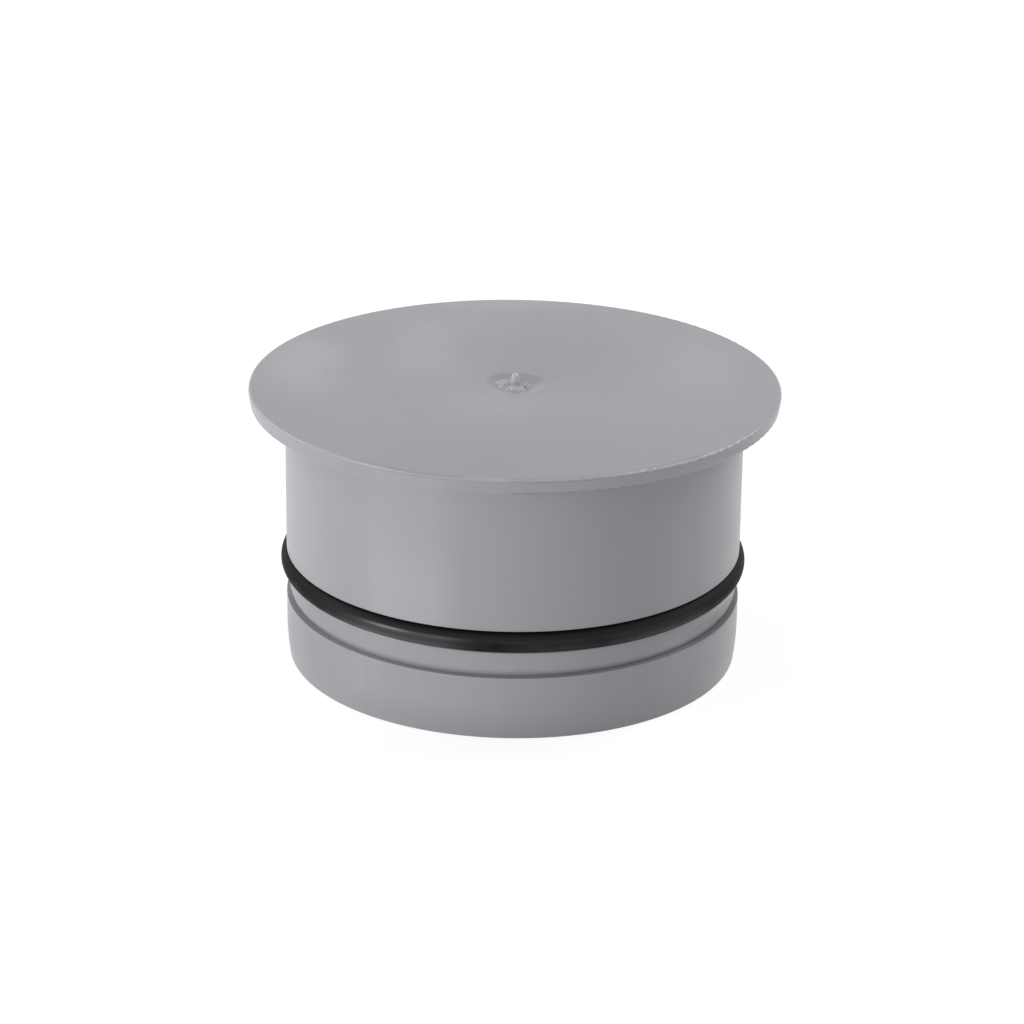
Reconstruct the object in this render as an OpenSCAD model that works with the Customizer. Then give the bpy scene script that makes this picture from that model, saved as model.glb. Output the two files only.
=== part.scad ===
// Push-in end cap for a pipe socket: a flat round flange on a hollow spigot that is open
// at the bottom, a rubber sealing ring in a groove low on the spigot, and a short nose
// below it that guides the cap into the socket. The cap stands on its nose, on the XY
// plane, with its axis on Z and the flange on top. All sizes are in millimetres.

/* [Spigot] */
// Outside diameter of the spigot and of the nose
spigot_d = 110; // [90:0.5:130]
// Length of the spigot from the underside of the flange to the seal groove
spigot_l = 37.1; // [20:0.1:80]
// Radius in the corner between the spigot and the flange
root_r = 1.2; // [0.2:0.1:3]

/* [Flange] */
// How far the flange reaches out past the spigot
flange_reach = 8.8; // [5:0.1:20]
// Thickness of the flange and of the end plate inside it
flange_t = 3.8; // [2:0.1:8]
// How far the rim of the flange draws in from its upper edge to its lower one
rim_draft = 0.6; // [0:0.1:1]
// Radius on the two rim edges of the flange
flange_edge_r = 0.7; // [0.1:0.05:0.9]

/* [Seal] */
// Section diameter of the round sealing ring
seal_d = 5.4; // [4.6:0.1:7]
// Free space between the ring and each side of its groove
seal_side_gap = 0.1; // [0.05:0.05:1]
// Free space between the ring and the floor of its groove
seal_seat_gap = 0.05; // [0.02:0.01:0.1]
// Depth of the groove below the spigot surface
groove_depth = 4.1; // [3:0.1:5]
// Radius on the two lips of the groove
lip_r = 0.25; // [0.05:0.05:0.5]

/* [Land between the seal and the nose] */
// How far the land lies in from the spigot surface
land_set_in = 0.8; // [0.2:0.1:1.5]
// Height of the land from the nose to the seal groove
land_l = 6.1; // [4:0.1:12]
// Radius of the land's turned-in lower edge
relief_r = 3.4; // [1:0.1:4]
// Angle through which that lower edge turns in
relief_sweep = 42; // [20:1:60]

/* [Nose] */
// Height of the nose
nose_l = 15.6; // [12:0.1:30]
// Height of the rounded lead-in at the foot of the nose
lead_l = 8.5; // [4:0.5:10]
// Radius on the outer edge of the mouth
mouth_edge_r = 0.5; // [0.2:0.1:1]
// Radius on the inner edge of the mouth
mouth_inner_r = 0.5; // [0.2:0.1:1]

/* [Wall] */
// Wall of the spigot and of the nose, and behind the groove
wall_t = 3.2; // [2.4:0.1:4]
// Radius inside, where the wall meets the end plate
crown_r = 3; // [1:0.5:8]
// Radius inside, where the wall behind the groove meets the bore
blend_r = 2; // [1:0.1:3]

/* [Gate mark] */
// Diameter of the shallow dish in the middle of the flange
dish_d = 15; // [8:0.5:24]
// Depth of that dish
dish_depth = 0.9; // [0.4:0.1:1.5]
// Diameter of the broken stub at its foot
stub_foot_d = 2.8; // [2.5:0.1:5]
// Diameter of the stub's rounded end
stub_top_d = 1.9; // [1:0.1:2.4]
// Height of the stub above the flange face
stub_h = 2.6; // [1:0.1:3]

/* [Hidden] */
$fn = 180;

// Radii of the outside, from the top down
spigot_r = spigot_d / 2;
flange_r = spigot_r + flange_reach;
rim_low_r = flange_r - rim_draft;
floor_r = spigot_r - groove_depth;
land_r = spigot_r - land_set_in;

// Levels, from the mouth up
groove_w = seal_d + 2 * seal_side_gap;
groove_z = nose_l + land_l;
shoulder_z = groove_z + groove_w;
flange_z = shoulder_z + spigot_l;
top_z = flange_z + flange_t;

// Notch under the land: its corner against the nose
relief_h = relief_r * sin(relief_sweep);
notch_r = land_r - relief_r * (1 - cos(relief_sweep));

// Bore, and the corners of the outside that the wall wraps evenly
bore_r = spigot_r - wall_t;
shoulder_corner = [floor_r, shoulder_z];
groove_corner = [floor_r, groove_z];
notch_corner = [notch_r, nose_l];

// Centre line of the sealing ring
seal_r = floor_r + seal_seat_gap + seal_d / 2;
seal_z = groove_z + groove_w / 2;

// How deep the stub's outline reaches into the end plate
stub_root = 0.5;

// Radius of the sphere that cuts the dish
dish_r = (pow(dish_d / 2, 2) + pow(dish_depth, 2)) / (2 * dish_depth);

// A band of the section, from the axis out to r
module band(r, z, h) {
  translate([0, z]) square([r, h]);
}

// What a convex corner at [x, z] loses to a radius; sx and sz point out of the material
module corner_cut(x, z, r, sx, sz) {
  difference() {
    translate([x - (sx > 0 ? r : 0), z - (sz > 0 ? r : 0)]) square(r);
    translate([x - sx * r, z - sz * r]) circle(r);
  }
}

// What a radius adds in an inner corner at [x, z]; sx and sz point into the open space
module corner_fill(x, z, r, sx, sz) {
  difference() {
    translate([x - (sx > 0 ? 0 : r), z - (sz > 0 ? 0 : r)]) square(r);
    translate([x + sx * r, z + sz * r]) circle(r);
  }
}

// The nose: its foot is drawn in by a sphere of the nose's own radius, and the edge of the
// mouth is an arc that touches both that sphere and the XY plane
module nose_outline() {
  edge_x = sqrt(pow(spigot_r - mouth_edge_r, 2) - pow(lead_l - mouth_edge_r, 2));
  edge = [edge_x, mouth_edge_r];
  outward = (edge - [0, lead_l]) / (spigot_r - mouth_edge_r);
  difference() {
    union() {
      band(spigot_r, lead_l, nose_l - lead_l);
      intersection() {
        band(spigot_r, 0, lead_l);
        translate([0, lead_l]) circle(spigot_r);
      }
    }
    difference() {
      polygon([edge, [edge_x, 0], [spigot_r, 0], edge + 2 * mouth_edge_r * outward]);
      translate(edge) circle(mouth_edge_r);
    }
  }
}

// The land, turned in towards the notch above the nose
module land_outline() {
  difference() {
    band(land_r, nose_l, land_l);
    difference() {
      translate([land_r - relief_r, nose_l]) square([relief_r, relief_h]);
      translate([land_r - relief_r, nose_l + relief_h]) circle(relief_r);
    }
    corner_cut(land_r, groove_z, lip_r, 1, 1);
  }
}

// The flange: its rim has draft, and both its edges are arcs that touch the faces they join
module flange_outline() {
  slant = norm([rim_draft, flange_t]);
  outward = [flange_t, -rim_draft] / slant;
  low = [rim_low_r - flange_edge_r * (slant - rim_draft) / flange_t, flange_z + flange_edge_r];
  high = [flange_r - flange_edge_r * (slant + rim_draft) / flange_t, top_z - flange_edge_r];
  polygon([[0, flange_z], [low[0], flange_z], low + flange_edge_r * outward,
           high + flange_edge_r * outward, [high[0], top_z], [0, top_z]]);
  for (edge = [low, high])
    translate(edge) circle(flange_edge_r);
}

// The spigot above the groove, and the flange
module head_outline() {
  difference() {
    band(spigot_r, shoulder_z, spigot_l);
    corner_cut(spigot_r, shoulder_z, lip_r, 1, -1);
  }
  corner_fill(spigot_r, flange_z, root_r, 1, -1);
  flange_outline();
}

// Rounds the step where a wrapped corner meets a bore; up is 1 above the corner, -1 below
module step_blend(corner, line_r, up) {
  across = line_r - blend_r - corner[0];
  rise = up * sqrt(pow(wall_t + blend_r, 2) - pow(across, 2));
  centre = corner + [across, rise];
  difference() {
    polygon([corner, [line_r, corner[1]], [line_r, centre[1]], centre]);
    translate(centre) circle(blend_r);
  }
}

// The wall behind the groove and the notch, at the wall's own thickness
module inner_ring() {
  slope = notch_corner - groove_corner;
  inward = [slope[1], -slope[0]] / norm(slope) * wall_t;
  translate([floor_r - wall_t, groove_z]) square([wall_t, groove_w]);
  for (corner = [shoulder_corner, groove_corner, notch_corner])
    translate(corner) circle(wall_t);
  polygon([groove_corner, notch_corner, notch_corner + inward, groove_corner + inward]);
  step_blend(shoulder_corner, bore_r, 1);
  step_blend(notch_corner, bore_r, -1);
}

// The open inside of the cap
module hollow_outline() {
  difference() {
    band(bore_r, -1, flange_z + 1);
    corner_fill(bore_r, flange_z, crown_r, -1, -1);
    inner_ring();
  }
  corner_fill(bore_r, 0, mouth_inner_r, 1, 1);
}

// The shallow dish round the gate mark
module dish_outline() {
  intersection() {
    translate([0, top_z + dish_r - dish_depth]) circle(dish_r);
    band(dish_d / 2 + 1, top_z - dish_depth, 2 * dish_depth);
  }
}

// The stub left in the dish where the moulding broke off its sprue: a cone that runs into
// its rounded end
module stub_outline() {
  end_r = stub_top_d / 2;
  end = [0, top_z + stub_h - end_r];
  foot = [stub_foot_d / 2, top_z - dish_depth - stub_root];
  away = foot - end;
  lean = atan2(away[1], away[0]) + acos(end_r / norm(away));
  touch = end + end_r * [cos(lean), sin(lean)];
  polygon([[0, foot[1]], foot, touch, [0, touch[1]]]);
  intersection() {
    translate(end) circle(end_r);
    band(end_r, touch[1], 2 * end_r);
  }
}

// The cap, moulded in one piece
module plug_body() {
  color([0.56, 0.57, 0.59])
  rotate_extrude()
  union() {
    difference() {
      union() {
        nose_outline();
        land_outline();
        band(floor_r, groove_z, groove_w);
        head_outline();
      }
      hollow_outline();
      dish_outline();
    }
    stub_outline();
  }
}

// The sealing ring, round in section
module seal_ring() {
  color([0.13, 0.13, 0.14])
  rotate_extrude() translate([seal_r, seal_z]) circle(d = seal_d);
}

plug_body();
seal_ring();
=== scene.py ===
import math

import bmesh
import bpy
from mathutils import Matrix, Vector, noise


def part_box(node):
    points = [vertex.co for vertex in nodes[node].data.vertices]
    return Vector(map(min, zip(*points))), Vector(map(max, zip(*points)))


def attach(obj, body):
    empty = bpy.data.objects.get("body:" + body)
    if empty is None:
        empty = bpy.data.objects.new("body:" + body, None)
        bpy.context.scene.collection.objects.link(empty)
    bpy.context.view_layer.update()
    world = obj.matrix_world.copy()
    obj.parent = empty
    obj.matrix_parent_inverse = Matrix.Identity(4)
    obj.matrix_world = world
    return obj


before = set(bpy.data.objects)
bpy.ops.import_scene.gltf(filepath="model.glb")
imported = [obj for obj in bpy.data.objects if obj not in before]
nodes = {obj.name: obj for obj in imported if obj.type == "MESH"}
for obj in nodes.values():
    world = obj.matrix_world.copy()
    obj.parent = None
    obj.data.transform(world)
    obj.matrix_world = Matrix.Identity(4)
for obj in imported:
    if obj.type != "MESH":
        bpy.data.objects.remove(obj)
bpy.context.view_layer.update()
print("frame loaded:", ", ".join(sorted(nodes)))

mm = 0.001
axisZ = Vector((0, 0, 1))
frontFade = 20 * mm             # marks on the front come in over this depth


# one socket of a material; sums on it add Math nodes to that material
class Val:
    def __init__(self, finish, socket):
        self.finish = finish
        self.socket = socket

    def out(self, name):
        return Val(self.finish, self.socket.node.outputs[name])

    def math(self, operation, *values):
        inputs = dict(enumerate(values))
        return self.finish.node("ShaderNodeMath", {"operation": operation}, inputs)

    def __add__(self, other):
        return self.math("ADD", self, other)

    def __radd__(self, other):
        return self.math("ADD", other, self)

    def __sub__(self, other):
        return self.math("SUBTRACT", self, other)

    def __rsub__(self, other):
        return self.math("SUBTRACT", other, self)

    def __mul__(self, other):
        return self.math("MULTIPLY", self, other)

    def __rmul__(self, other):
        return self.math("MULTIPLY", other, self)

    def __truediv__(self, other):
        return self.math("DIVIDE", self, other)

    def __pow__(self, other):
        return self.math("POWER", self, other)

    def abs(self):
        return self.math("ABSOLUTE", self)

    def max(self, other):
        return self.math("MAXIMUM", self, other)


# one node material, or the nodes of the world where its tree is given
class Finish:
    def __init__(self, name, tree=None):
        self.material = None
        if tree is None:
            self.material = bpy.data.materials.new(name)
            self.material.use_nodes = True
            tree = self.material.node_tree
        self.tree = tree
        self.tree.nodes.clear()

    def node(self, kind, settings=None, inputs=None, output=0):
        made = self.tree.nodes.new(kind)
        for key, value in (settings or {}).items():
            setattr(made, key, value)
        for key, value in (inputs or {}).items():
            if isinstance(value, Val):
                self.tree.links.new(value.socket, made.inputs[key])
            else:
                made.inputs[key].default_value = value
        return Val(self, made.outputs[output]) if len(made.outputs) else None

    # from 0 at low to 1 at high, eased at both ends
    def ease(self, value, low, high):
        return self.node("ShaderNodeMapRange", {"interpolation_type": "SMOOTHSTEP"},
                         {0: value, 1: low, 2: high})

    # 1 inside a band of half width reach round a middle value, eased over soft
    def near(self, value, middle, reach, soft):
        return 1 - self.ease((value - middle).abs(), reach, reach + soft)

    def length(self, x, y):
        return (x * x + y * y) ** 0.5

    # noise on the surface; perMetre is how many cells fit in a metre
    def noise(self, point, perMetre, detail, rough):
        inputs = {"Vector": point, "Scale": perMetre, "Detail": detail, "Roughness": rough}
        return self.node("ShaderNodeTexNoise", {}, inputs)

    def axes(self, point):
        return self.node("ShaderNodeSeparateXYZ", inputs={0: point})

    def stretch(self, point, by):
        return self.node("ShaderNodeVectorMath", {"operation": "MULTIPLY"}, {0: point, 1: by})

    def blend(self, amount, first, second):
        return self.node("ShaderNodeMix", {"data_type": "RGBA"}, {0: amount, 6: first, 7: second}, 2)

    def bump(self, height, depth, normal=None):
        inputs = {"Height": height, "Distance": depth, "Strength": 1.0}
        if normal:
            inputs["Normal"] = normal
        return self.node("ShaderNodeBump", {}, inputs)

    def surface(self, inputs):
        shader = self.node("ShaderNodeBsdfPrincipled", {}, inputs)
        self.node("ShaderNodeOutputMaterial", {}, {"Surface": shader})
        return self.material


# where a point of the surface lies on the object, in metres
class Place:
    def __init__(self, made):
        self.made = made
        self.point = made.node("ShaderNodeTexCoord", output="Object")
        axes = made.axes(self.point)
        self.x = axes.out("X")
        self.y = axes.out("Y")
        self.z = axes.out("Z")

    def radius(self):
        return self.made.length(self.x, self.y)

    # 1 on the front of the object, 0 on its back
    def front(self):
        return self.made.ease(0 - self.y, 0, frontFade)


# the camera stands where the photograph was taken from; lengths in metres, angles in degrees
cameraFit = {
    "sensor": 36,               # this and the lens in millimetres
    "lens": 128.54,
    "distance": 0.875,          # to the middle of the flange face
    "elevation": 19.75,
    "aim": (-0.00035, 0.0, -0.03315),   # from the middle of the flange face
    "roll": 0.718,
    "clip": (0.05, 50),
}


def makeCamera(fit):
    flangeTop = Vector((0, 0, flangeFace))
    rise = math.radians(fit["elevation"])
    stand = flangeTop + fit["distance"] * Vector((0, -math.cos(rise), math.sin(rise)))
    ahead = (flangeTop + Vector(fit["aim"]) - stand).normalized()
    right = ahead.cross(axisZ).normalized()
    up = right.cross(ahead)
    roll = math.radians(fit["roll"])
    rolledRight = math.cos(roll) * right + math.sin(roll) * up
    rolledUp = math.cos(roll) * up - math.sin(roll) * right
    data = bpy.data.cameras.new("camera")
    data.sensor_width = fit["sensor"]
    data.lens = fit["lens"]
    data.clip_start, data.clip_end = fit["clip"]
    camera = bpy.data.objects.new("camera", data)
    bpy.context.scene.collection.objects.link(camera)
    turn = Matrix((rolledRight, rolledUp, -ahead)).transposed().to_4x4()
    camera.matrix_world = Matrix.Translation(stand) @ turn
    bpy.context.scene.camera = camera


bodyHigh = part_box("plug_body")[1]
sealLow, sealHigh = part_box("seal_ring")
stubHeight = 2.6 * mm           # the broken stub stands this far out of the flange face
flangeThick = 3.8 * mm
dishDepth = 0.9 * mm            # of the dish round the stub
flangeFace = bodyHigh.z - stubHeight
flangeRadius = bodyHigh.x
makeCamera(cameraFit)
print("camera placed")


# mid grey moulded plastic
# a pair of numbers is where something starts and where it is whole, three in millimetres are
# the middle of a band, its half width and how far its edges fade, and a noise is its cells in
# a metre, detail and roughness
plastic = {
    "grey": (0.333, 0.328, 0.355, 1),
    "greyPale": (0.440, 0.436, 0.466, 1),
    "greyDeep": (0.292, 0.290, 0.313, 1),

    "clouds": (22, 3, 0.55),
    "cloudRange": (0.30, 0.70),
    "cloudy": 0.25,
    "streaks": (150, 3, 0.60),          # faint upright streaks on the sides
    "streakStretch": (1, 1, 0.05),
    "streakPale": (0.52, 0.74),
    "streakDeep": (-0.48, -0.26),
    "streakedPale": 0.10,
    "streakedDeep": 0.20,

    "ringFade": 1 * mm,         # how softly the marks above and below the ring end at it
    "litPatchX": (-24 * mm, 5 * mm, 9 * mm),      # painted light: where the side is painted paler, as if lit
    "litPatchTop": (6 * mm, 26 * mm),     # over the ring, and more so below this
    "litPatch": 0.20,
    "litPatchLow": 0.25,
    "shadowDepth": 3.8 * mm,      # the painted shadow under the flange reaches this far down
    "shadowStart": (-22 * mm, 6 * mm),    # and in x from here
    "shadowEnd": (30 * mm, 46 * mm),      # to here
    "shadowTop": 0.1 * mm,        # over the underside of the flange
    "shadowStrength": 0.90,

    "greyNoseShade": (0.268, 0.265, 0.285, 1),        # painted shade on the nose, towards its two ends and at its foot
    "greyNotchShade": (0.150, 0.148, 0.160, 1),       # and painted shade deepest in the notch at the right end
    "shadeLeft": (34 * mm, 50 * mm),
    "shadeRight": (38 * mm, 50 * mm),
    "shadeFoot": (1 * mm, 10 * mm),
    "notchBand": (17.4 * mm, 1.4 * mm, 1.6 * mm),
    "paintedShading": 0.90,
    "footShare": 0.55,
    "rightShare": 0.35,
    "notchShare": 0.65,
    "notchShade": 0.60,

    "greyCool": (0.322, 0.331, 0.354, 1),       # over the face but for its left edge and back
    "coolLeft": (-60 * mm, -46 * mm),
    "coolBack": (14 * mm, 38 * mm),
    "drift": (70, 2, 0.50),
    "driftBy": 7 * mm,          # how far the edges of the painted reflections and shade wander
    "paleReflections": (                  # painted reflections, pale places as if the face mirrored the light: x, y, half width, half length in mm, strength
        (-51, 12, 14, 32, 0.60),
        (-22, 24, 13, 34, 0.28),
        (-6, -14, 20, 13, 0.26),
        (45, 12, 15, 32, 0.28),
        (0, 64, 46, 13, 0.30),
    ),
    "paintedShade": (                   # and painted shade, darker places, the same way
        (10, 24, 32, 44, 0.80),
        (0, -62, 64, 44, 0.50),
    ),
    "gateShade": (               # painted shade in the dish round the gate mark
        (0, 4, 15, 11, 0.50),
        (-4.0, 4.0, 3.4, 3.0, 0.30),
        (4.6, 3.4, 3.2, 4.2, 0.12),
        (2.4, -4.8, 5.6, 2.8, 0.75),
    ),

    "stubWhite": (0.45, 0.445, 0.47, 1),
    "stubLitSide": (0.60, 0.595, 0.62, 1),         # painted light: its right side paler, as if lit
    "stubFootShade": (0.340, 0.337, 0.355, 1),       # and painted shade on the part at its foot
    "faceFade": 0.2 * mm,       # the marks of the face end this far below the dish
    "stubReach": (1.6 * mm, 1.8 * mm),
    "litSide": (-0.4 * mm, 0.5 * mm),
    "stubShadeTop": (0.5 * mm, 1.1 * mm),        # over the face
    "stubShadeShare": 0.90,
    "stubShadeOnLitSide": 0.40,       # less of the painted shade on the lit right side

    # painted highlight along the rounded edges of the rim
    "rimHighlight": (0.510, 0.506, 0.536, 1),
    "rimIn": 0.2 * mm,          # the painted highlight lines lie this far in from the two edges of the rim
    "rimLine": 0.1 * mm,
    "rimLineFade": 0.5 * mm,
    "rimDepth": (0.9 * mm, 0.4 * mm),           # in from its outside
    "rimFront": (12 * mm, 10 * mm, 22 * mm),
    "rimBreakNoise": (110, 3, 0.60),
    "rimBreakRange": (0.30, 0.70),
    "rimBroken": 0.25,
    "rimAll": 0.12,
    "rimMost": 0.80,            # more at the front
    "rimLow": 0.15,             # on the lower edge

    "scuffs": (                 # long and thin, in two directions: noise, stretch and range
        ((1500, 1, 0.40), (1.0, 0.06, 1.0), (0.70, 0.78)),
        ((1300, 1, 0.40), (0.05, 0.8, 1.0), (0.71, 0.79)),
    ),
    "scuffEdge": (3 * mm, 1.5 * mm),            # they end this far from the edge of the face
    "scuffRough": 0.10,
    "scuffDepth": 0.20,         # of the grain's

    "sheen": 0.36,              # roughness of the clean surface
    "smears": (60, 4, 0.60),
    "sheenSpread": 0.12,
    "grain": (2600, 2, 0.50),
    "grainDepth": 0.010 * mm,
    "ripple": (60, 1, 0.40),
    "rippleDepth": 0.10 * mm,
    "draw": (900, 2, 0.50),     # marks of drawing off the tool
    "drawStretch": (1, 1, 0.04),
    "drawDepth": 0.006 * mm,
    "ior": 1.49,
}


ovalMiddle = 0.15               # an oval has its whole strength this far out from its middle


# soft ovals in the colour of the flange face
def ovals(made, x, y, places):
    total = 0.0
    for midX, midY, halfX, halfY, strength in places:
        across = (x - midX * mm) / (halfX * mm)
        along = (y - midY * mm) / (halfY * mm)
        reach = made.length(across, along)
        total = total + strength * (1 - made.ease(reach, ovalMiddle, 1.0))
    return total


# soft clouds in the colour, and streaks on the sides
def plasticGrey(made, place, onFace, look):
    cloud = made.ease(made.noise(place.point, *look["clouds"]), *look["cloudRange"])
    colour = made.blend(cloud * look["cloudy"], look["grey"], look["greyDeep"])
    streak = made.noise(made.stretch(place.point, look["streakStretch"]), *look["streaks"])
    pale = made.ease(streak, *look["streakPale"]) * (1 - onFace)
    deep = made.ease(0 - streak, *look["streakDeep"]) * (1 - onFace)
    colour = made.blend(pale * look["streakedPale"], colour, look["greyPale"])
    return made.blend(deep * look["streakedDeep"], colour, look["greyDeep"])


# painted light on the front left of the spigot, and a painted shadow in the corner under the flange
def markSpigot(made, place, onFace, look, colour):
    fade = look["ringFade"]
    onSide = made.ease(place.z, sealHigh.z - fade, sealHigh.z + fade) * (1 - onFace)
    # painted light: paler on the front left, over the ring and most just above it
    litPatch = made.near(place.x, *look["litPatchX"]) * place.front() * onSide
    top, above = look["litPatchTop"]
    low = 1 - made.ease(place.z, sealHigh.z + top, sealHigh.z + above)
    litPatch = litPatch * (look["litPatch"] + look["litPatchLow"] * low)
    colour = made.blend(litPatch, colour, look["greyPale"])

    # painted shadow: darker on the spigot just under the flange
    corner = flangeFace - flangeThick
    flangeShadow = made.ease(place.z, corner - look["shadowDepth"], corner)
    flangeShadow = flangeShadow * (1 - made.ease(place.z, corner, corner + look["shadowTop"]))
    flangeShadow = flangeShadow * made.ease(place.x, *look["shadowStart"])
    flangeShadow = flangeShadow * (1 - made.ease(place.x, *look["shadowEnd"]))
    return made.blend(flangeShadow * look["shadowStrength"], colour, look["greyDeep"])


# painted shade on the land and the nose: darker towards their two ends, at the foot and in the notch
# at the right end
def shadeNose(made, place, look, colour):
    below = 1 - made.ease(place.z, sealLow.z - look["ringFade"], sealLow.z)
    left = made.ease(0 - place.x, *look["shadeLeft"])
    right = made.ease(place.x, *look["shadeRight"])
    foot = 1 - made.ease(place.z, *look["shadeFoot"])
    notch = made.near(place.z, *look["notchBand"])
    rightShade = right * (look["rightShare"] + look["notchShare"] * notch)
    noseShade = left.max(look["footShare"] * foot).max(rightShade)
    colour = made.blend(below * noseShade * look["paintedShading"], colour, look["greyNoseShade"])
    return made.blend(below * right * notch * look["notchShade"], colour, look["greyNotchShade"])


# the face has a cooler tone, with painted reflections and painted shade: pale and darker places with
# broken edges
def shadeFace(made, place, onFace, look, colour):
    cool = made.ease(place.x, *look["coolLeft"]) * (1 - made.ease(place.y, *look["coolBack"]))
    colour = made.blend(cool * onFace, colour, look["greyCool"])

    by = look["driftBy"]
    drift = made.noise(place.point, *look["drift"]).out("Color")
    shifted = made.node("ShaderNodeVectorMath", {"operation": "MULTIPLY_ADD"},
                        {0: drift, 1: (by, by, 0), 2: place.point})
    axes = made.axes(shifted)
    x = axes.out("X") - by / 2
    y = axes.out("Y") - by / 2
    colour = made.blend(ovals(made, x, y, look["paleReflections"]) * onFace, colour, look["greyPale"])
    paintedShade = ovals(made, x, y, look["paintedShade"]) + ovals(made, place.x, place.y, look["gateShade"])
    return made.blend(paintedShade * onFace, colour, look["greyDeep"])


# plastic that was torn is paler; the stub's right side is painted paler as light, and its foot
# painted darker as shade
def whitenAndShadeStub(made, place, onFace, look, colour):
    onStub = onFace * (1 - made.ease(place.radius(), *look["stubReach"]))
    # painted light on the right side of the stub, and painted shade at its foot
    litSide = made.ease(place.x, *look["litSide"])
    stub = made.blend(litSide, look["stubWhite"], look["stubLitSide"])
    low, high = look["stubShadeTop"]
    foot = 1 - made.ease(place.z, flangeFace + low, flangeFace + high)
    foot = foot * (look["stubShadeShare"] - look["stubShadeOnLitSide"] * litSide)
    return made.blend(onStub, colour, made.blend(foot, stub, look["stubFootShade"]))


# painted highlight: the rounded edges of the rim a little paler, more at the front, broken up by
# noise
def highlightRim(made, place, look, colour):
    upper = flangeFace - look["rimIn"]
    lower = flangeFace - flangeThick + look["rimIn"]
    rimTop = made.near(place.z, upper, look["rimLine"], look["rimLineFade"])
    rimBottom = made.near(place.z, lower, look["rimLine"], look["rimLineFade"])
    inner, outer = look["rimDepth"]
    atRim = made.ease(place.radius(), flangeRadius - inner, flangeRadius - outer)
    breakUp = made.ease(made.noise(place.point, *look["rimBreakNoise"]), *look["rimBreakRange"])
    front = made.near(place.x, *look["rimFront"]) * place.front()
    paintedShading = rimTop * (look["rimAll"] + look["rimMost"] * front) + rimBottom * look["rimLow"]
    paintedShading = atRim * paintedShading * (1 - look["rimBroken"] + look["rimBroken"] * breakUp)
    return made.blend(paintedShading, colour, look["rimHighlight"])


def scuffMarks(made, place, onFace, look):
    marks = 0.0
    for cells, stretch, span in look["scuffs"]:
        marks = marks + made.ease(made.noise(made.stretch(place.point, stretch), *cells), *span)
    start, end = look["scuffEdge"]
    inside = 1 - made.ease(place.radius(), flangeRadius - start, flangeRadius - end)
    return marks * inside * onFace


def plasticFinish(look):
    made = Finish("plug plastic")
    place = Place(made)
    dishFloor = flangeFace - dishDepth
    onFace = made.ease(place.z, dishFloor - look["faceFade"], dishFloor)
    colour = plasticGrey(made, place, onFace, look)
    colour = markSpigot(made, place, onFace, look, colour)
    colour = shadeNose(made, place, look, colour)
    colour = shadeFace(made, place, onFace, look, colour)
    colour = whitenAndShadeStub(made, place, onFace, look, colour)
    colour = highlightRim(made, place, look, colour)

    scuffs = scuffMarks(made, place, onFace, look)
    smear = made.noise(place.point, *look["smears"])
    rough = look["sheen"] + look["sheenSpread"] * (smear - 0.5) + look["scuffRough"] * scuffs

    # relief: a slow ripple, the marks of drawing off the tool, and moulded grain
    ripple = made.noise(place.point, *look["ripple"])
    draw = made.noise(made.stretch(place.point, look["drawStretch"]), *look["draw"])
    grain = made.noise(place.point, *look["grain"])
    normal = made.bump(ripple, look["rippleDepth"])
    normal = made.bump(draw * (1 - onFace), look["drawDepth"], normal)
    normal = made.bump(grain - look["scuffDepth"] * scuffs, look["grainDepth"], normal)
    return made.surface({
        "Base Color": colour,
        "Roughness": rough,
        "IOR": look["ior"],
        "Normal": normal,
    })


# the plastic where it tore: paler on what stands up, and coarse
torn = {
    "grey": (0.333, 0.328, 0.353, 1),
    "whitened": (0.430, 0.426, 0.450, 1),
    "whitest": (0.500, 0.495, 0.520, 1),
    "standing": (-0.9 * mm, -0.6 * mm),     # over the face
    "high": (-0.5 * mm, 0.1 * mm),
    "rough": 0.50,
    "roughSpread": 0.20,
    "fibres": (5200, 3, 0.60),
    "fibreStretch": (1.0, 0.5, 0.7),
    "fibreRange": (0.35, 0.65),
    "fibreShare": 0.30,
    "fibreDepth": 0.02 * mm,
    "ior": 1.49,
}


def tornFinish(look):
    made = Finish("torn plastic")
    place = Place(made)
    fibre = made.noise(made.stretch(place.point, look["fibreStretch"]), *look["fibres"])
    low, standing = look["standing"]
    stands = made.ease(place.z, flangeFace + low, flangeFace + standing)
    low, high = look["high"]
    white = made.blend(made.ease(place.z, flangeFace + low, flangeFace + high),
                       look["whitest"], look["whitened"])
    share = 1 - look["fibreShare"] + look["fibreShare"] * made.ease(fibre, *look["fibreRange"])
    return made.surface({
        "Base Color": made.blend(stands * share, look["grey"], white),
        "Roughness": look["rough"] + look["roughSpread"] * (fibre - 0.5),
        "IOR": look["ior"],
        "Normal": made.bump(fibre, look["fibreDepth"]),
    })


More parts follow.
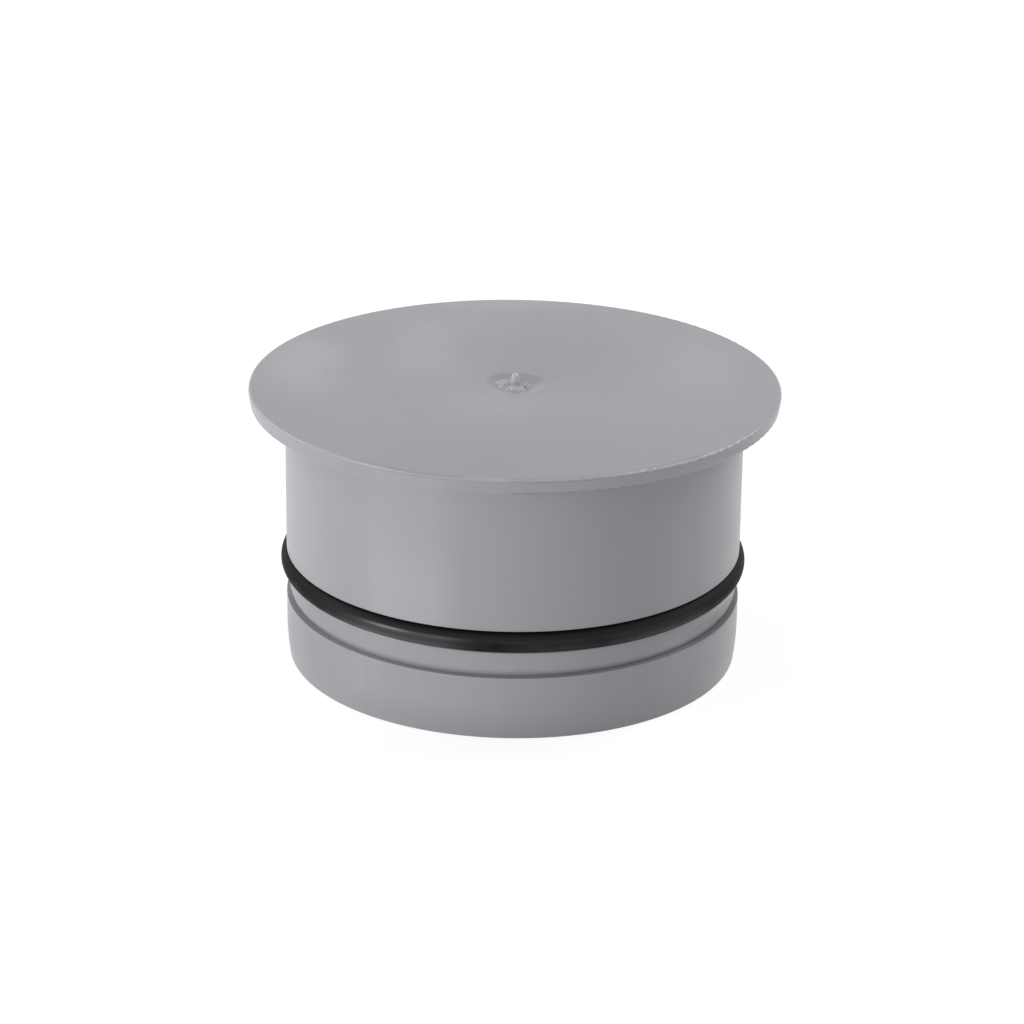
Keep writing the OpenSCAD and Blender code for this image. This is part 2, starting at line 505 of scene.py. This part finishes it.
# black rubber, lightly greased for fitting; numbers as for the plastic
rubber = {
    "black": (0.0050, 0.0050, 0.0055, 1),
    # pale bloom on the rubber, and the colour of the painted highlight line
    "bloomAndHighlightTone": (0.020, 0.020, 0.021, 1),
    "sheen": 0.58,              # roughness of the dry rubber
    "dryShine": 0.06,
    "greaseSheen": 0.28,
    "greasedTop": (0.1 * mm, 1.5 * mm),     # over the ring's middle; dry where the spigot wiped it
    "ends": (40 * mm, 52 * mm),             # less of everything at the two ends
    "film": (45, 3, 0.55),      # a thin film of grease
    "filmRange": (0.40, 0.60),
    "filmShare": 0.25,
    "firstSmear": (-25 * mm, 6 * mm, 14 * mm),      # where a finger left the most of it
    "secondSmear": (31 * mm, 5 * mm, 10 * mm),
    "secondShare": 0.33,
    "bloom": (120, 4, 0.60),
    "bloomRange": (0.45, 0.75),
    "highlightLine": (1.2 * mm, 0.4 * mm, 0.9 * mm),    # a painted highlight, a faint pale line over its middle
    "paintedHighlight": 0.90,
    "grain": (3200, 2, 0.50),
    "grainDepth": 0.008 * mm,
    "flashIn": (0.5 * mm, 0.2 * mm),        # from its outside
    "flashLine": (0.05 * mm, 0.12 * mm),    # half width and fade
    "flashDepth": 0.04 * mm,
    "ior": 1.52,
    "greaseIor": 1.50,
}


def rubberFinish(look):
    made = Finish("seal rubber")
    place = Place(made)
    middle = (sealLow.z + sealHigh.z) / 2

    film = made.ease(made.noise(place.point, *look["film"]), *look["filmRange"])
    away = 1 - made.ease(place.x.abs(), *look["ends"])
    first = made.near(place.x, *look["firstSmear"]) * place.front()
    second = made.near(place.x, *look["secondSmear"])
    start, end = look["greasedTop"]
    low = 1 - made.ease(place.z, middle + start, middle + end)
    grease = (look["filmShare"] * film * away).max(look["secondShare"] * second).max(first) * low

    bloom = made.ease(made.noise(place.point, *look["bloom"]), *look["bloomRange"])
    # painted highlight: a faint pale line over the ring's middle, added to the real bloom
    paintedHighlight = made.near(place.z - middle, *look["highlightLine"]) * away * look["paintedHighlight"]
    bloomAndHighlight = (bloom * low * (1 - grease)).max(paintedHighlight)

    # the thin line of flash where the two halves of its mould met
    inner, outer = look["flashIn"]
    outside = made.ease(place.radius(), sealHigh.x - inner, sealHigh.x - outer)
    flash = outside * made.near(place.z, middle, *look["flashLine"])
    normal = made.bump(flash, look["flashDepth"])
    normal = made.bump(made.noise(place.point, *look["grain"]), look["grainDepth"], normal)
    return made.surface({
        "Base Color": made.blend(bloomAndHighlight, look["black"], look["bloomAndHighlightTone"]),
        "Roughness": look["sheen"],
        "IOR": look["ior"],
        "Specular IOR Level": look["dryShine"],
        "Coat Weight": grease,
        "Coat Roughness": look["greaseSheen"],
        "Coat IOR": look["greaseIor"],
        "Normal": normal,
    })


def dress(node, material):
    mesh = nodes[node].data
    mesh.materials.clear()
    mesh.materials.append(material)


dress("plug_body", plasticFinish(plastic))
dress("seal_ring", rubberFinish(rubber))
print("finishes made")


# what the sprue left round the stub when it tore off: ragged lumps on the floor of the dish
gate = {
    "dishRadius": 7.5,          # lengths in millimetres
    "reach": 5.2,
    "rings": 65,
    "spokes": 240,
    "sink": 0.06,               # between the lumps the piece lies this far inside the plate
    "foot": 1.3,                # and its flat underside this far below the face
    "crown": 1.2,               # how the lumps swell; 1 is a dome
    "broken": 0.20,             # how far their outlines wander, as a share, and how often
    "brokenPerMm": 1.7,
    "ragged": 0.07,             # how rough they are, and how finely
    "raggedPerMm": 1.9,
    "raggedFrom": 0.3,          # a lump of this height is as rough as any
    "raggedLayer": 3.0,         # the slice of the noise that shapes them
    "raggedOctaves": 3,
    "raggedSeed": 1,            # without a seed this noise is another one on each run
    "lumps": (                  # x, y, half length, reach to the front, to the back, height, turn
        (-2.2, 1.9, 2.8, 2.8, 0.8, 1.10, 10),
        (0.3, -1.5, 2.7, 2.3, 0.9, 0.85, -14),
        (2.8, 0.2, 0.70, 1.3, 0.7, 1.15, 0),
        (-1.9, -0.9, 2.6, 2.2, 2.0, 0.38, 0),
    ),
}


# height of the torn plastic over the face of the flange, in millimetres
def tearHeight(x, y, look):
    depth = dishDepth / mm
    ball = (look["dishRadius"] ** 2 + depth ** 2) / (2 * depth)
    dish = ball - depth - math.sqrt(ball ** 2 - x * x - y * y)
    lift = 0.0
    for midX, midY, halfLength, toFront, toBack, height, turn in look["lumps"]:
        lean = math.radians(turn)
        along = ((x - midX) * math.cos(lean) + (y - midY) * math.sin(lean)) / halfLength
        across = (y - midY) * math.cos(lean) - (x - midX) * math.sin(lean)
        across = across / (toBack if across > 0 else toFront)
        spot = Vector((x * look["brokenPerMm"], y * look["brokenPerMm"], midX))
        broken = look["broken"] * noise.noise(spot)
        reach = min(1.0, max(0.0, math.hypot(along, across) + broken))
        lift = max(lift, height * (1 - reach ** 2) ** look["crown"])
    spot = Vector((x, y, look["raggedLayer"])) * look["raggedPerMm"]
    rough = look["ragged"] * noise.turbulence_vector(spot, look["raggedOctaves"], False)[2]
    return dish - look["sink"] + lift + rough * min(1.0, lift / look["raggedFrom"])


# rings of points round the middle, lifted by tearHeight, with a wall and a flat underside
def makeGateTear(look):
    noise.seed_set(look["raggedSeed"])
    shape = bmesh.new()
    middle = shape.verts.new((0, 0, flangeFace + tearHeight(0, 0, look) * mm))
    inner = [middle] * look["spokes"]
    for ring in range(1, look["rings"] + 1):
        radius = look["reach"] * ring / look["rings"]
        outer = []
        for spoke in range(look["spokes"]):
            turn = 2 * math.pi * spoke / look["spokes"]
            x = radius * math.cos(turn)
            y = radius * math.sin(turn)
            rise = tearHeight(x, y, look)
            outer.append(shape.verts.new((x * mm, y * mm, flangeFace + rise * mm)))
        for spoke in range(look["spokes"]):
            corners = (inner[spoke - 1], outer[spoke - 1], outer[spoke], inner[spoke])
            shape.faces.new(dict.fromkeys(corners))     # at the middle two of them are one
        inner = outer
    footLevel = flangeFace - look["foot"] * mm
    foot = [shape.verts.new((corner.co.x, corner.co.y, footLevel)) for corner in inner]
    for spoke in range(look["spokes"]):
        shape.faces.new((inner[spoke - 1], foot[spoke - 1], foot[spoke], inner[spoke]))
    shape.faces.new(reversed(foot))
    mesh = bpy.data.meshes.new("gate_tear")
    shape.to_mesh(mesh)
    shape.free()
    mesh.shade_smooth()
    mesh.materials.append(tornFinish(torn))
    tear = bpy.data.objects.new("gate_tear", mesh)
    bpy.context.scene.collection.objects.link(tear)
    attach(tear, "root")


makeGateTear(gate)
print("gate mark made")


# plain white studio: floor, lamps and sky
studio = {
    "floorRadius": 6.0,
    "floorSides": 96,
    "floorWhite": (0.90, 0.90, 0.90, 1),
    "floorSeen": (1.60, 1.60, 1.60, 1),     # to the eye the floor burns out to white
    "seenWhite": 0.85,          # how much of the shadow on it is lost
    "sky": 0.40,
    "lampDistance": 1.3,
    "lamps": {                  # azimuth, elevation, size, power
        "key": (-60, 8, 0.4, 6.6),
        "front": (-30, 10, 0.4, 2.0),
        "backLeft": (-120, 35, 0.8, 4.7),
        "backRight": (120, 35, 0.8, 7.1),
    },
}


# 1 for what looks straight at the background or sees it as a reflection
def seesWhite(made):
    camera = made.node("ShaderNodeLightPath", output="Is Camera Ray")
    return camera.max(camera.out("Is Glossy Ray")).max(camera.out("Is Transmission Ray"))


def makeFloor(look):
    made = Finish("floor white")
    seen = seesWhite(made)
    tone = made.blend(seen, look["floorWhite"], look["floorSeen"])
    lit = made.node("ShaderNodeBsdfDiffuse", inputs={"Color": tone})
    glow = made.node("ShaderNodeEmission", {}, {"Color": (1, 1, 1, 1), "Strength": 1.0})
    surface = made.node("ShaderNodeMixShader", {}, {0: seen * look["seenWhite"], 1: lit, 2: glow})
    clear = made.node("ShaderNodeBsdfTransparent")
    fromBelow = made.node("ShaderNodeNewGeometry", output="Backfacing")
    shown = made.node("ShaderNodeMixShader", {}, {0: fromBelow, 1: surface, 2: clear})
    made.node("ShaderNodeOutputMaterial", {}, {"Surface": shown})
    mesh = bpy.data.meshes.new("floor")
    shape = bmesh.new()
    bmesh.ops.create_circle(shape, cap_ends=True, radius=look["floorRadius"],
                            segments=look["floorSides"])
    shape.to_mesh(mesh)
    shape.free()
    mesh.materials.append(made.material)
    floor = bpy.data.objects.new("floor", mesh)
    bpy.context.scene.collection.objects.link(floor)


def makeLamp(name, azimuth, elevation, size, power, distance):
    data = bpy.data.lights.new(name, "AREA")
    data.shape = "DISK"
    data.size = size
    data.energy = power
    turn = math.radians(azimuth)
    rise = math.radians(elevation)
    towards = Vector((math.sin(turn) * math.cos(rise), -math.cos(turn) * math.cos(rise),
                      math.sin(rise)))
    lampObject = bpy.data.objects.new(name, data)
    lampObject.location = towards * distance + Vector((0, 0, flangeFace / 2))
    lampObject.rotation_mode = "QUATERNION"
    lampObject.rotation_quaternion = towards.to_track_quat("Z", "Y")
    bpy.context.scene.collection.objects.link(lampObject)


# plain white to look at and in reflections, and a softer sky as light
def makeSky(strength):
    world = bpy.data.worlds.new("studio")
    bpy.context.scene.world = world
    world.use_nodes = True
    made = Finish("sky", world.node_tree)
    soft = made.node("ShaderNodeBackground", {}, {"Color": (1, 1, 1, 1), "Strength": strength})
    white = made.node("ShaderNodeBackground", {}, {"Color": (1, 1, 1, 1), "Strength": 1.0})
    shown = made.node("ShaderNodeMixShader", {}, {0: seesWhite(made), 1: soft, 2: white})
    made.node("ShaderNodeOutputWorld", {}, {"Surface": shown})


makeFloor(studio)
for lampName, lamp in studio["lamps"].items():
    makeLamp(lampName, *lamp, studio["lampDistance"])
makeSky(studio["sky"])
bpy.context.scene.view_settings.view_transform = "Standard"
print("studio ready")
